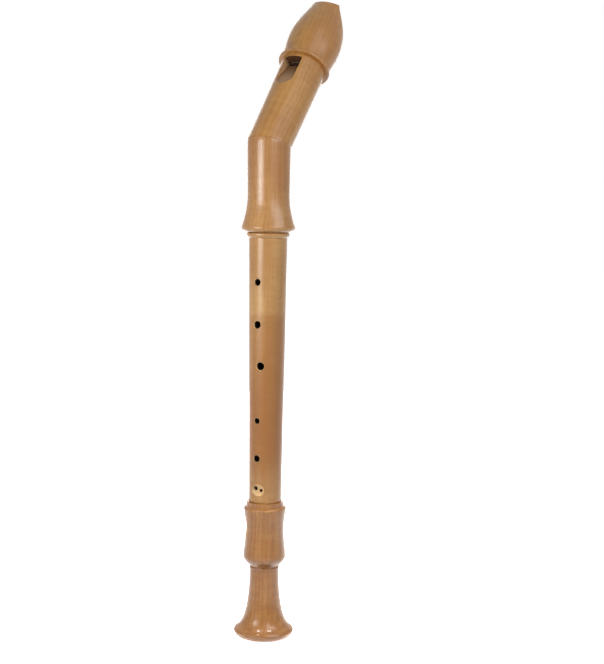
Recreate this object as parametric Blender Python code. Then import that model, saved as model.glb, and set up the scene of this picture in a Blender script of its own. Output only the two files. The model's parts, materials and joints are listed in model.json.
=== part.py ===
"""Bent-neck tenor recorder: beaked head, plug block, mitred neck, body tube, foot and two tenon corks.

Metres, +Z up the bore. The finger holes and the window face -Y, the thumb hole faces +Y, and the head
leans back over +Y. The foot stands on z = 0.

Every curved outline is a cubic. Its curve value names two offsets as (radius, height): where its first
handle lies from its lower end, and where its second handle lies from its upper end.
"""

import math

import bmesh
import bpy
from mathutils import Matrix

mm = 0.001
SEGMENTS = 48

# Gaps between pieces
SEAT_GAP = 0.3 * mm
SOCKET_CLEARANCE = 0.35 * mm
BLOCK_CLEARANCE = 0.3 * mm

# Lengths along the bore
FOOT_LENGTH = 140.0 * mm
BODY_LENGTH = 271.0 * mm
NECK_LENGTH = 87.6 * mm
HEAD_LENGTH = 176.8 * mm
BEND_ANGLE = math.radians(38.0)
MITRE_TILT = math.radians(17.0)

# Bore radii
HEAD_BORE = 13.4 * mm
BODY_BORE_TOP = 12.6 * mm
BODY_BORE_BOTTOM = 10.0 * mm
FOOT_BORE_TOP = 9.6 * mm
FOOT_BORE_THROAT = 8.6 * mm
FOOT_BORE_MOUTH = 9.8 * mm
FOOT_THROAT_HEIGHT = 26.0 * mm

# Body tube
BODY_TOP_RADIUS = 19.05 * mm
BODY_BOTTOM_RADIUS = 16.4 * mm
BODY_RING_PROUD = 2.1 * mm
BODY_RING_HEIGHT = 5.2 * mm
BODY_RING_CURVE = ((0.6, 0.4), (0.0, -1.4))
BODY_RING_ROUND = 1.0 * mm
BODY_RING_SIDE = 1.3 * mm
UPPER_TENON_LENGTH = 30.0 * mm
UPPER_TENON_STEP = 3.4 * mm
LOWER_TENON_LENGTH = 22.0 * mm
LOWER_TENON_STEP = 2.6 * mm
TENON_CHAMFER = 0.6 * mm
SOCKET_END_GAP = 0.6 * mm
EDGE_ROUND = 0.5 * mm

# Cork lapping let into a groove of each tenon
CORK_DEPTH = 1.0 * mm
CORK_PROUD = 0.3 * mm
CORK_LAND = 4.0 * mm
CORK_LINE = 0.05 * mm

# Foot
BELL_RADIUS = 30.5 * mm
BELL_LIP_HEIGHT = 6.2 * mm
BELL_BASE_INSET = 7.3 * mm
BELL_LIP_CURVE = ((2.4, 0.1), (-0.1, -3.3))
BELL_CROWN_HEIGHT = 2.7 * mm
BELL_CROWN_INSET = 1.6 * mm
BELL_CROWN_CURVE = ((0.0, 0.9), (0.6, -1.0))
BELL_FLARE_CURVE = ((-9.9, 5.0), (0.45, -34.0))
STEM_RADIUS = 14.65 * mm
STEM_TOP = 70.2 * mm
STEM_BEAD_HEIGHT = 2.8 * mm
STEM_BEAD_PROUD = 0.5 * mm
BARREL_LOWER_SWELL = 21.6 * mm
BARREL_WAIST = 19.35 * mm
BARREL_UPPER_SWELL = 21.45 * mm
BARREL_CHAMFER_HEIGHT = 10.8 * mm
BARREL_CHAMFER_CURVE = ((1.4, 2.0), (0.1, -4.5))
BARREL_LOWER_CURVE = ((0.0, 3.6), (0.6, -12.1))
BARREL_UPPER_CURVE = ((-0.2, 12.1), (-0.9, -8.0))
BARREL_SHOULDER_HEIGHT = 3.6 * mm
BARREL_SHOULDER_CURVE = ((0.3, 1.8), (1.8, -1.2))
FOOT_RIM_WALL = 4.4 * mm
FOOT_RIM_HEIGHT = 4.2 * mm
FOOT_RIM_STEP = 0.2 * mm

# Neck
NECK_SEAT_INSET = 0.4 * mm
NECK_SEAT_STEP = 2.0 * mm
NECK_FLARE_RADIUS = 26.8 * mm
NECK_FLARE_HEIGHT = 5.4 * mm
NECK_UNDER_CURVE = ((2.4, 0.8), (0.1, -2.8))
NECK_FLARE_CURVE = ((-1.2, 5.0), (-0.1, -16.0))
NECK_WAIST_RADIUS = 20.95 * mm
NECK_WAIST_HEIGHT = 38.0 * mm
NECK_TOP_RADIUS = 21.75 * mm

# Head
HEAD_MITRE_RADIUS = 21.5 * mm
HEAD_TUBE_RADIUS = 22.95 * mm
RING_RADIUS = 27.2 * mm
RING_HEIGHT = 3.0 * mm
RING_FROM_BEND = 98.8 * mm
BULB_BASE_RADIUS = 25.2 * mm
BULB_RADIUS = 27.8 * mm
BULB_FROM_RING = 29.0 * mm
BULB_LOWER_CURVE = ((0.1, 10.0), (0.0, -12.6))
BULB_UPPER_CURVE = ((0.0, 12.4), (3.9, -14.1))
BEAK_END_RADIUS = 19.6 * mm
BEAK_END_TAPER = 1.4 * mm
BEAK_TIP_THICKNESS = 11.0 * mm
BEAK_SHOULDER = 5.2 * mm
BEAK_OVERRUN = 2.0 * mm
BEAK_FROM_RING = 32.0 * mm
BEAK_HOLLOW_CURVE = ((15.9, 6.0), (-5.3, -20.2))

# The tip's face slants down from the underside to the lip and is rounded over the front
BEAK_SLANT = 3.2 * mm
BEAK_LIP_WIDTH = 2.4 * mm
BEAK_LIP_HEIGHT = 1.7 * mm
BEAK_LIP_PROUD = 0.6 * mm
BEAK_LIP_CURVE = ((1.8, -0.2), (-0.6, 0.8))

# Windway, window and labium
WINDWAY_WIDTH = 18.6 * mm
WINDWAY_HEIGHT = 1.3 * mm
WINDWAY_ARCH = 36.0 * mm
WINDOW_FLARE = 0.9 * mm
WINDOW_BELOW_RING = 2.0 * mm
CUT_UP = 5.2 * mm
LABIUM_RAMP = 32.0 * mm
LABIUM_EDGE = 0.5 * mm
BLOCK_CHAMFER = 0.7 * mm

# Tone holes: height over the foot's rim, turn to the player's left seen from the front, radius and slant
TONE_HOLES = (
    ("hole_1", 222.5 * mm, 0.0, 3.5 * mm, 8.0),
    ("hole_2", 180.3 * mm, 0.0, 3.9 * mm, 4.0),
    ("hole_3", 139.0 * mm, 12.5, 4.1 * mm, -6.0),
    ("hole_4", 83.8 * mm, 1.0, 3.1 * mm, 8.0),
    ("hole_5", 45.6 * mm, 0.5, 3.6 * mm, 5.0),
    ("thumb_hole", 244.0 * mm, 180.0, 3.7 * mm, 0.0),
)
DOUBLE_HOLE_OVER_RIM = 13.6 * mm
DOUBLE_HOLE_TURN = 3.2
DOUBLE_HOLE_SPREAD = 11.0
DOUBLE_HOLE_STAGGER = 0.6 * mm
DOUBLE_HOLE_LARGE = 2.3 * mm
DOUBLE_HOLE_SMALL = 1.6 * mm
BODY_SCOOP_RADIUS = 14.0 * mm
BODY_SCOOP_DEPTH = 1.9 * mm
FOOT_HOLE_UNDER_RIM = 28.5 * mm
FOOT_HOLE_TURN = -50.0
FOOT_HOLE_SPREAD = 11.0
FOOT_HOLE_LARGE = 2.5 * mm
FOOT_HOLE_SMALL = 1.8 * mm
FOOT_SCOOP_RADIUS = 12.0 * mm
FOOT_SCOOP_DEPTH = 4.0 * mm

# Heights that follow from the lengths
FOOT_RIM = FOOT_LENGTH
BODY_FOOT_END = FOOT_RIM + SEAT_GAP
BODY_RING_TOP = FOOT_LENGTH + BODY_LENGTH
NECK_FOOT_END = BODY_RING_TOP + SEAT_GAP
BEND_HEIGHT = BODY_RING_TOP + NECK_LENGTH
DOUBLE_HOLE_HEIGHT = FOOT_RIM + DOUBLE_HOLE_OVER_RIM
FOOT_HOLE_HEIGHT = FOOT_RIM - FOOT_HOLE_UNDER_RIM
UPPER_TENON_TOP = BODY_RING_TOP + UPPER_TENON_LENGTH
LOWER_TENON_END = BODY_FOOT_END - LOWER_TENON_LENGTH
UPPER_TENON_RADIUS = BODY_TOP_RADIUS - UPPER_TENON_STEP
LOWER_TENON_RADIUS = BODY_BOTTOM_RADIUS - LOWER_TENON_STEP
UPPER_SOCKET_RADIUS = UPPER_TENON_RADIUS + CORK_PROUD + SOCKET_CLEARANCE
LOWER_SOCKET_RADIUS = LOWER_TENON_RADIUS + CORK_PROUD + SOCKET_CLEARANCE
RING_TOP = RING_FROM_BEND + RING_HEIGHT
WINDWAY_ROOF = HEAD_BORE + WINDWAY_HEIGHT
WINDOW_TOP = RING_FROM_BEND - WINDOW_BELOW_RING
LABIUM = WINDOW_TOP - CUT_UP
REACH = 4.0 * (BELL_RADIUS + BULB_RADIUS)


def clear_scene():
    for obj in list(bpy.data.objects):
        bpy.data.objects.remove(obj, do_unlink=True)


def material(name, color, roughness):
    made = bpy.data.materials.new(name)
    made.use_nodes = True
    shader = made.node_tree.nodes["Principled BSDF"]
    shader.inputs["Base Color"].default_value = (*color, 1.0)
    shader.inputs["Roughness"].default_value = roughness
    shader.inputs["Metallic"].default_value = 0.0
    return made


def frame(name, parent=None, location=(0.0, 0.0, 0.0), tilt=0.0):
    """An empty that carries pieces: tilt leans its Z back towards +Y."""
    empty = bpy.data.objects.new(name, None)
    bpy.context.scene.collection.objects.link(empty)
    empty.parent = parent
    empty.location = location
    empty.rotation_euler = (-tilt, 0.0, 0.0)
    return empty


def place(name, bm, parent, finish=None):
    """Turns a bmesh into an object, with its faces out, smooth where the shape is round."""
    bmesh.ops.recalc_face_normals(bm, faces=bm.faces)
    mesh = bpy.data.meshes.new(name)
    bm.to_mesh(mesh)
    bm.free()
    mesh.shade_smooth()
    mesh.set_sharp_from_angle(angle=math.radians(32.0))
    obj = bpy.data.objects.new(name, mesh)
    bpy.context.scene.collection.objects.link(obj)
    obj.parent = parent
    if finish:
        mesh.materials.append(finish)
    return obj


def curve(start, end, handles, steps):
    """Points of a cubic curve after its start. Handles are offsets in millimetres from its two ends."""
    leave = tuple(a + offset * mm for a, offset in zip(start, handles[0]))
    arrive = tuple(a + offset * mm for a, offset in zip(end, handles[1]))
    points = []
    for i in range(1, steps + 1):
        t = i / steps
        weights = ((1 - t) ** 3, 3 * t * (1 - t) ** 2, 3 * t * t * (1 - t), t**3)
        four = (start, leave, arrive, end)
        points.append(tuple(sum(w * p[k] for w, p in zip(weights, four)) for k in (0, 1)))
    return points


def bead(low, high, proud, steps):
    """A round bead between two points of the outline. A cubic bulges three quarters of its handles' reach."""
    reach = proud / (0.75 * mm)
    return curve(low, high, ((reach, 0.0), (reach, 0.0)), steps)


def turned(name, outline, parent, finish=None):
    """A lathe-turned solid: (radius, height) pairs spun about Z. An outline off the axis is a closed loop."""
    bm = bmesh.new()
    verts = [bm.verts.new((radius, 0.0, height)) for radius, height in outline]
    edges = [bm.edges.new(pair) for pair in zip(verts, verts[1:])]
    if outline[0][0] > 0.0:
        edges.append(bm.edges.new((verts[-1], verts[0])))
    bmesh.ops.spin(
        bm,
        geom=verts + edges,
        cent=(0.0, 0.0, 0.0),
        axis=(0.0, 0.0, 1.0),
        angle=2.0 * math.pi,
        steps=SEGMENTS,
        use_merge=True,
        use_duplicate=False,
    )
    bmesh.ops.remove_doubles(bm, verts=bm.verts, dist=1e-7)
    return place(name, bm, parent, finish)


def helper(obj):
    obj.hide_render = True
    obj.display_type = "WIRE"
    return obj


def cut(obj, cutter):
    modifier = obj.modifiers.new(cutter.name, "BOOLEAN")
    modifier.operation = "DIFFERENCE"
    modifier.solver = "EXACT"
    modifier.object = helper(cutter)


def join(obj, addition):
    modifier = obj.modifiers.new(addition.name, "BOOLEAN")
    modifier.operation = "UNION"
    modifier.solver = "EXACT"
    modifier.object = helper(addition)


def radial_cylinder(name, parent, height, turn, radius, slant, inner, outer):
    """A drill that enters from the side: turn is in degrees from the front towards +X, slant tips it down."""
    bm = bmesh.new()
    length = outer - inner
    bmesh.ops.create_cone(bm, cap_ends=True, segments=20, radius1=radius, radius2=radius, depth=length)
    aim = Matrix.Rotation(math.radians(turn), 4, "Z") @ Matrix.Rotation(math.radians(slant), 4, "X")
    lay_down = Matrix.Rotation(math.radians(90.0), 4, "X")
    middle = Matrix.Translation((0.0, -(inner + outer) / 2.0, 0.0))
    bmesh.ops.transform(bm, matrix=Matrix.Translation((0, 0, height)) @ aim @ middle @ lay_down, verts=bm.verts)
    return place(name, bm, parent)


def scoop(name, parent, height, turn, wall_radius, ball_radius, depth):
    """A ball-shaped cutter that dishes the wall round a hole."""
    bm = bmesh.new()
    bmesh.ops.create_uvsphere(bm, u_segments=28, v_segments=16, radius=ball_radius)
    out = wall_radius - depth + ball_radius
    aim = Matrix.Rotation(math.radians(turn), 4, "Z") @ Matrix.Translation((0.0, -out, 0.0))
    bmesh.ops.transform(bm, matrix=Matrix.Translation((0, 0, height)) @ aim, verts=bm.verts)
    return place(name, bm, parent)


def body_radius_at(height):
    share = (height - BODY_FOOT_END) / (BODY_RING_TOP - BODY_RING_HEIGHT - BODY_FOOT_END)
    return BODY_BOTTOM_RADIUS + share * (BODY_TOP_RADIUS - BODY_BOTTOM_RADIUS)


def tenon_groove(radius, low, high):
    """The groove that the cork lies in, listed upwards."""
    floor = radius - CORK_DEPTH
    return [(radius, low), (floor, low), (floor, high), (radius, high)]


def cork_sleeve(name, radius, low, high, parent, finish):
    inner = radius - CORK_DEPTH + CORK_LINE
    outer = radius + CORK_PROUD
    low = low + CORK_LINE
    high = high - CORK_LINE
    edge = (outer - inner) / 3.0
    outline = [
        (inner, low),
        (outer - edge, low),
        (outer, low + edge),
        (outer, high - edge),
        (outer - edge, high),
        (inner, high),
    ]
    return turned(name, outline, parent, finish)


def make_foot(root, wood):
    """Foot: flared bell, slim stem with a bead, and a waisted barrel that holds the lower socket."""
    base = (BELL_RADIUS - BELL_BASE_INSET, 0.0)
    lip = (BELL_RADIUS, BELL_LIP_HEIGHT)
    crown = (BELL_RADIUS - BELL_CROWN_INSET, BELL_LIP_HEIGHT + BELL_CROWN_HEIGHT)
    bead_low = (STEM_RADIUS, STEM_TOP)
    bead_high = (STEM_RADIUS, STEM_TOP + STEM_BEAD_HEIGHT)
    swell_low = (BARREL_LOWER_SWELL, bead_high[1] + BARREL_CHAMFER_HEIGHT)
    rim = LOWER_SOCKET_RADIUS + FOOT_RIM_WALL
    rim_low = (rim - FOOT_RIM_STEP, FOOT_RIM - FOOT_RIM_HEIGHT)
    swell_high = (BARREL_UPPER_SWELL, rim_low[1] - BARREL_SHOULDER_HEIGHT)
    waist = (BARREL_WAIST, (swell_low[1] + swell_high[1]) / 2.0)
    socket_end = LOWER_TENON_END - SOCKET_END_GAP

    outline = [base]
    outline += curve(base, lip, BELL_LIP_CURVE, 5)
    outline += curve(lip, crown, BELL_CROWN_CURVE, 2)
    outline += curve(crown, bead_low, BELL_FLARE_CURVE, 9)
    outline += bead(bead_low, bead_high, STEM_BEAD_PROUD, 4)
    outline += curve(bead_high, swell_low, BARREL_CHAMFER_CURVE, 6)
    outline += curve(swell_low, waist, BARREL_LOWER_CURVE, 5)
    outline += curve(waist, swell_high, BARREL_UPPER_CURVE, 5)
    outline += curve(swell_high, rim_low, BARREL_SHOULDER_CURVE, 4)
    outline += [(rim, rim_low[1] + EDGE_ROUND), (rim, FOOT_RIM - EDGE_ROUND), (rim - EDGE_ROUND, FOOT_RIM)]
    outline += [(LOWER_SOCKET_RADIUS, FOOT_RIM), (LOWER_SOCKET_RADIUS, socket_end)]
    outline += [(FOOT_BORE_TOP, socket_end), (FOOT_BORE_THROAT, FOOT_THROAT_HEIGHT), (FOOT_BORE_MOUTH, 0.0)]
    foot = turned("foot_joint", outline, root, wood)

    wall = BARREL_WAIST
    place_and_size = (FOOT_HOLE_HEIGHT, FOOT_HOLE_TURN, wall, FOOT_SCOOP_RADIUS, FOOT_SCOOP_DEPTH)
    cut(foot, scoop("foot_scoop", root, *place_and_size))
    holes = ((-1, FOOT_HOLE_LARGE, "foot_hole_large"), (1, FOOT_HOLE_SMALL, "foot_hole_small"))
    for side, radius, name in holes:
        turn = FOOT_HOLE_TURN + side * FOOT_HOLE_SPREAD
        drill = radial_cylinder(name, root, FOOT_HOLE_HEIGHT, turn, radius, 0.0, wall / 4.0, wall * 1.5)
        cut(foot, drill)
    return foot


def make_body(root, wood):
    """Body tube with its ring, finger holes, thumb hole and a grooved tenon at each end."""
    ring_low = BODY_RING_TOP - BODY_RING_HEIGHT
    ring = BODY_TOP_RADIUS + BODY_RING_PROUD
    outline = [(LOWER_TENON_RADIUS - TENON_CHAMFER, LOWER_TENON_END)]
    outline += [(LOWER_TENON_RADIUS, LOWER_TENON_END + TENON_CHAMFER)]
    outline += tenon_groove(LOWER_TENON_RADIUS, LOWER_TENON_END + CORK_LAND, BODY_FOOT_END - CORK_LAND)
    outline += [(LOWER_TENON_RADIUS, BODY_FOOT_END), (BODY_BOTTOM_RADIUS - EDGE_ROUND, BODY_FOOT_END)]
    outline += [(BODY_BOTTOM_RADIUS, BODY_FOOT_END + EDGE_ROUND), (BODY_TOP_RADIUS, ring_low)]
    ring_side_low = (ring, BODY_RING_TOP - BODY_RING_ROUND - BODY_RING_SIDE)
    outline += curve(outline[-1], ring_side_low, BODY_RING_CURVE, 4)
    outline += [(ring, BODY_RING_TOP - BODY_RING_ROUND), (ring - BODY_RING_ROUND, BODY_RING_TOP)]
    outline += [(UPPER_TENON_RADIUS, BODY_RING_TOP)]
    outline += tenon_groove(UPPER_TENON_RADIUS, BODY_RING_TOP + CORK_LAND, UPPER_TENON_TOP - CORK_LAND)
    outline += [(UPPER_TENON_RADIUS, UPPER_TENON_TOP - TENON_CHAMFER)]
    outline += [(UPPER_TENON_RADIUS - TENON_CHAMFER, UPPER_TENON_TOP), (BODY_BORE_TOP, UPPER_TENON_TOP)]
    outline += [(BODY_BORE_BOTTOM, LOWER_TENON_END)]
    body = turned("middle_joint", outline, root, wood)

    scoop_wall = body_radius_at(DOUBLE_HOLE_HEIGHT)
    place_and_size = (DOUBLE_HOLE_HEIGHT, DOUBLE_HOLE_TURN, scoop_wall, BODY_SCOOP_RADIUS, BODY_SCOOP_DEPTH)
    cut(body, scoop("body_scoop", root, *place_and_size))
    for name, over_rim, turn, radius, slant in TONE_HOLES:
        height = FOOT_RIM + over_rim
        wall = body_radius_at(height)
        cut(body, radial_cylinder(name, root, height, turn, radius, slant, wall / 4.0, wall * 1.5))
    for side, radius, name in ((-1, DOUBLE_HOLE_LARGE, "hole_6_large"), (1, DOUBLE_HOLE_SMALL, "hole_6_small")):
        turn = DOUBLE_HOLE_TURN + side * DOUBLE_HOLE_SPREAD
        height = DOUBLE_HOLE_HEIGHT - side * DOUBLE_HOLE_STAGGER
        cut(body, radial_cylinder(name, root, height, turn, radius, 0.0, scoop_wall / 4.0, scoop_wall * 1.5))
    return body


def half_space(name, parent, above):
    """A slab that fills one side of its parent's XY plane, half a seat gap away from it."""
    bm = bmesh.new()
    bmesh.ops.create_cube(bm, size=REACH)
    shift = REACH / 2.0 - SEAT_GAP / 2.0
    bmesh.ops.translate(bm, vec=(0.0, 0.0, shift if above else -shift), verts=bm.verts)
    return place(name, bm, parent)


def make_neck(root, mitre, wood):
    """Neck: a waisted socket piece whose top is mitred at half the bend."""
    seat = BODY_TOP_RADIUS + BODY_RING_PROUD - NECK_SEAT_INSET
    under = (seat + NECK_SEAT_STEP, NECK_FOOT_END + EDGE_ROUND)
    flare = (NECK_FLARE_RADIUS, NECK_FOOT_END + NECK_FLARE_HEIGHT)
    waist = (NECK_WAIST_RADIUS, NECK_FOOT_END + NECK_WAIST_HEIGHT)
    over = BEND_HEIGHT + NECK_TOP_RADIUS
    outline = [(seat, NECK_FOOT_END), under]
    outline += curve(under, flare, NECK_UNDER_CURVE, 5)
    outline += curve(flare, waist, NECK_FLARE_CURVE, 8)
    outline += [(NECK_TOP_RADIUS, BEND_HEIGHT), (NECK_TOP_RADIUS, over)]
    outline += [(HEAD_BORE, over), (HEAD_BORE, UPPER_TENON_TOP + SOCKET_END_GAP)]
    outline += [(UPPER_SOCKET_RADIUS, UPPER_TENON_TOP + SOCKET_END_GAP), (UPPER_SOCKET_RADIUS, NECK_FOOT_END)]
    neck = turned("neck_joint", outline, root, wood)
    cut(neck, half_space("mitre_above", mitre, True))
    return neck


def bulb_outline():
    """Outer outline of the head from the ring to past the tip, upwards. The beak's cut trims the tip."""
    foot = (BULB_BASE_RADIUS, RING_TOP)
    widest = (BULB_RADIUS, RING_TOP + BULB_FROM_RING)
    shoulder = (BEAK_END_RADIUS, HEAD_LENGTH - BEAK_SHOULDER)
    points = [foot]
    points += curve(foot, widest, BULB_LOWER_CURVE, 7)
    points += curve(widest, shoulder, BULB_UPPER_CURVE, 9)
    return [*points, (BEAK_END_RADIUS - BEAK_END_TAPER, HEAD_LENGTH + BEAK_OVERRUN)]


def beak_cutter(name, parent):
    """All that lies behind the beak's hollow underside and past its tip, drawn from the side and extruded."""
    start = (-BULB_RADIUS - BEAK_OVERRUN, RING_TOP + BEAK_FROM_RING)
    tip = (BEAK_END_RADIUS - BEAK_TIP_THICKNESS, HEAD_LENGTH)
    lip = (BEAK_END_RADIUS - BEAK_LIP_WIDTH, HEAD_LENGTH - BEAK_SLANT)
    front = (BEAK_END_RADIUS + BEAK_LIP_PROUD, lip[1] - BEAK_LIP_HEIGHT)
    far = REACH / 2.0
    outline = [start, *curve(start, tip, BEAK_HOLLOW_CURVE, 12), lip, *curve(lip, front, BEAK_LIP_CURVE, 4)]
    outline += [(far, front[1]), (far, HEAD_LENGTH + far), (-far, HEAD_LENGTH + far), (-far, start[1])]
    bm = bmesh.new()
    half = REACH / 4.0
    left = [bm.verts.new((-half, -front, height)) for front, height in outline]
    face = bm.faces.new(left)
    made = bmesh.ops.extrude_face_region(bm, geom=[face])
    moved = [v for v in made["geom"] if isinstance(v, bmesh.types.BMVert)]
    bmesh.ops.translate(bm, vec=(2.0 * half, 0.0, 0.0), verts=moved)
    return place(name, bm, parent)


def loft(name, parent, sections):
    """A solid through equal rings of points, closed at both ends."""
    bm = bmesh.new()
    rings = [[bm.verts.new(p) for p in ring] for ring in sections]
    for low, high in zip(rings, rings[1:]):
        for i in range(len(low)):
            j = (i + 1) % len(low)
            bm.faces.new((low[i], low[j], high[j], high[i]))
    bm.faces.new(rings[0])
    bm.faces.new(rings[-1])
    return place(name, bm, parent)


def arch(x, crown, flatness=0.0):
    """Height over the bore axis of the shallow arch that windway, floor and labium share."""
    drop = WINDWAY_ARCH - math.sqrt(WINDWAY_ARCH**2 - x**2)
    return crown - drop * (1.0 - flatness)


def spread(half, columns):
    """Equal steps across the windway, from one side to the other."""
    return [half * (2.0 * i / (columns - 1) - 1.0) for i in range(columns)]


def window_cutter(parent):
    """The window and the labium's ramp in one cutter: an arched edge that runs out into a flat ramp."""
    half = WINDWAY_WIDTH / 2.0
    outside = RING_RADIUS * 1.3
    wide = half + WINDOW_FLARE * (outside - HEAD_BORE) / (HEAD_TUBE_RADIUS - HEAD_BORE)
    edge = HEAD_BORE + LABIUM_EDGE
    steps = 5
    sections = []
    for i in range(steps, -1, -1):
        share = i / steps
        floor = edge + share * (HEAD_TUBE_RADIUS - edge)
        height = LABIUM - share * LABIUM_RAMP
        ring = [(x, -arch(x, floor, min(1.0, share * 1.4)), height) for x in spread(half, 9)]
        sections.append([*ring, (wide, -outside, height), (-wide, -outside, height)])
    ramp = loft("labium_ramp_cutter", parent, sections)

    deep = HEAD_BORE * 0.4
    mouth = [(-half, -deep), (half, -deep), (half, -edge), (wide, -outside), (-wide, -outside), (-half, -edge)]
    heights = (LABIUM, WINDOW_TOP)
    return ramp, loft("window_cutter", parent, [[(x, y, h) for x, y in mouth] for h in heights])


def windway_bar(name, parent, crown, width, low, high):
    """A bar with an arched top that runs along the windway, rooted inside the bore."""
    root = HEAD_BORE * 0.6
    profile = [(x, -arch(x, crown)) for x in spread(width / 2.0, 9)]
    profile += [(width / 2.0, -root), (-width / 2.0, -root)]
    return loft(name, parent, [[(x, y, h) for x, y in profile] for h in (low, high)])


def make_head(head, mitre, wood):
    """Head: mitred tube, ring, turned bulb with the beak cut, windway roof, window and labium."""
    low = -HEAD_TUBE_RADIUS
    past = HEAD_LENGTH + BEAK_OVERRUN
    edge_round = RING_HEIGHT / 2.0
    ring_low = (RING_RADIUS - edge_round, RING_FROM_BEND)
    ring_high = (RING_RADIUS - edge_round, RING_TOP)
    outline = [(HEAD_MITRE_RADIUS, low), (HEAD_MITRE_RADIUS, 0.0), (HEAD_TUBE_RADIUS, RING_FROM_BEND), ring_low]
    outline += bead(ring_low, ring_high, edge_round, 6)
    outline += [*bulb_outline(), (HEAD_BORE, past), (HEAD_BORE, low)]
    joint = turned("head_joint", outline, head, wood)
    cut(joint, half_space("mitre_below", mitre, False))
    window_overlap = WINDOW_TOP - EDGE_ROUND
    beyond = past + BEAK_OVERRUN
    cut(joint, windway_bar("windway_cutter", head, WINDWAY_ROOF, WINDWAY_WIDTH, window_overlap, beyond))
    ramp, slot = window_cutter(head)
    cut(joint, slot)
    cut(joint, ramp)
    cut(joint, beak_cutter("beak_cutter", head))
    return joint


def make_block(slide, cedar):
    """Block: the plug under the windway, trimmed flush with the beak."""
    radius = HEAD_BORE - BLOCK_CLEARANCE
    top = HEAD_LENGTH + BEAK_OVERRUN
    outline = [
        (0.0, WINDOW_TOP),
        (radius - BLOCK_CHAMFER, WINDOW_TOP),
        (radius, WINDOW_TOP + BLOCK_CHAMFER),
        (radius, top),
        (0.0, top),
    ]
    block = turned("block", outline, slide, cedar)
    floor = windway_bar(
        "windway_floor",
        slide,
        WINDWAY_ROOF - WINDWAY_HEIGHT,
        WINDWAY_WIDTH - 2.0 * BLOCK_CLEARANCE,
        WINDOW_TOP,
        top,
    )
    join(block, floor)
    cut(block, beak_cutter("block_beak_cutter", slide))
    return block


def main():
    clear_scene()
    wood = material("pearwood", (0.50, 0.27, 0.11), 0.32)
    cedar = material("cedar", (0.52, 0.27, 0.15), 0.6)
    cork = material("cork", (0.60, 0.40, 0.24), 0.85)

    root = frame("bore_axis")
    mitre = frame("mitre_plane", root, (0.0, 0.0, BEND_HEIGHT), MITRE_TILT)
    head = frame("head_axis", root, (0.0, 0.0, BEND_HEIGHT), BEND_ANGLE)

    make_foot(root, wood)
    make_body(root, wood)
    cork_sleeve(
        "upper_tenon_cork",
        UPPER_TENON_RADIUS,
        BODY_RING_TOP + CORK_LAND,
        UPPER_TENON_TOP - CORK_LAND,
        root,
        cork,
    )
    cork_sleeve(
        "lower_tenon_cork",
        LOWER_TENON_RADIUS,
        LOWER_TENON_END + CORK_LAND,
        BODY_FOOT_END - CORK_LAND,
        root,
        cork,
    )
    make_neck(root, mitre, wood)
    make_head(head, mitre, wood)
    make_block(head, cedar)


main()
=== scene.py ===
# %% [markdown]
# # A keyless tenor recorder with a bent neck
# The instrument is turned from stained pearwood in four lengths: foot, middle joint, bent neck and
# beaked head. A cedar block closes the head and two cork sleeves seal the joints. This lesson dresses
# the measured model of it: every turned length is made again with a fine surface, and each wood gets
# a procedural finish that runs through the piece as real grain does.
#
# The measured model comes first. It holds one plain piece for each part, on the bodies that the joints
# move.

# %% Load the measured model
import json
import math

import bmesh
import bpy
from mathutils import Matrix, Vector


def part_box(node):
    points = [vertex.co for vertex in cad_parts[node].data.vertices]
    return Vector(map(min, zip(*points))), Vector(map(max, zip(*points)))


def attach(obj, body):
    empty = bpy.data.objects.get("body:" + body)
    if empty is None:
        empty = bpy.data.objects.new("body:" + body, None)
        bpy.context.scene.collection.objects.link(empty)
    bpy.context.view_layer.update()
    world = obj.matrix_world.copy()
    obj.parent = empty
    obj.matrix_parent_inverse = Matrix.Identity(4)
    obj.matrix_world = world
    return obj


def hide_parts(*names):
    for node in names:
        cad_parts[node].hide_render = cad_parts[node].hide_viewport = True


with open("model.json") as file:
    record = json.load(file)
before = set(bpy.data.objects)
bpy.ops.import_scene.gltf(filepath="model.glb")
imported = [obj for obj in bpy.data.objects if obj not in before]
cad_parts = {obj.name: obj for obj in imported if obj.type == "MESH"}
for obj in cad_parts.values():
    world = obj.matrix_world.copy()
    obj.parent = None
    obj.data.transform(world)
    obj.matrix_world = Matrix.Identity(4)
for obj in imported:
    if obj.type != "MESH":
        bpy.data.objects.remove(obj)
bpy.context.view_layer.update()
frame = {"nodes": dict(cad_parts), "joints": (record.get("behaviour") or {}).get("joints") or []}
mm = 0.001
print("pieces of the model:", sorted(frame["nodes"]))

# %% [markdown]
# The heights that everything else follows are read from the model: where the foot's socket ends, and
# where the tenons and the neck reach. The block slides out along the head, so the direction of its joint
# tells how far the head leans back. Two frames stand at the bend: one leans with the head, and the other
# leans by the angle of the saw cut where neck and head are glued together.

# %% Heights and angles, in millimetres and degrees
FOOT_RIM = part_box("foot_joint")[1].z / mm
TENON_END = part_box("middle_joint")[0].z / mm
TENON_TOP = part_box("middle_joint")[1].z / mm
NECK_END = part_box("neck_joint")[0].z / mm
SEAT_GAP = 0.3
BODY_END = FOOT_RIM + SEAT_GAP
BODY_TOP = NECK_END - SEAT_GAP
NECK_LENGTH = 87.6
BEND = BODY_TOP + NECK_LENGTH
MITRE = 17.0
block_joint = next(joint for joint in frame["joints"] if joint["name"] == "block_slide")
LEAN = math.degrees(math.atan2(block_joint["axis"][1], block_joint["axis"][2]))


def at_the_bend(angle):
    """The frame that stands at the bend and leans back by an angle in degrees."""
    return Matrix.Translation((0, 0, BEND * mm)) @ Matrix.Rotation(math.radians(-angle), 4, "X")


HEAD_FRAME = at_the_bend(LEAN)
MITRE_FRAME = at_the_bend(MITRE)
print(f"foot rim {FOOT_RIM:.1f}, body top {BODY_TOP:.1f}, bend {BEND:.1f} mm, head leans {LEAN:.1f} degrees")

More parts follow.
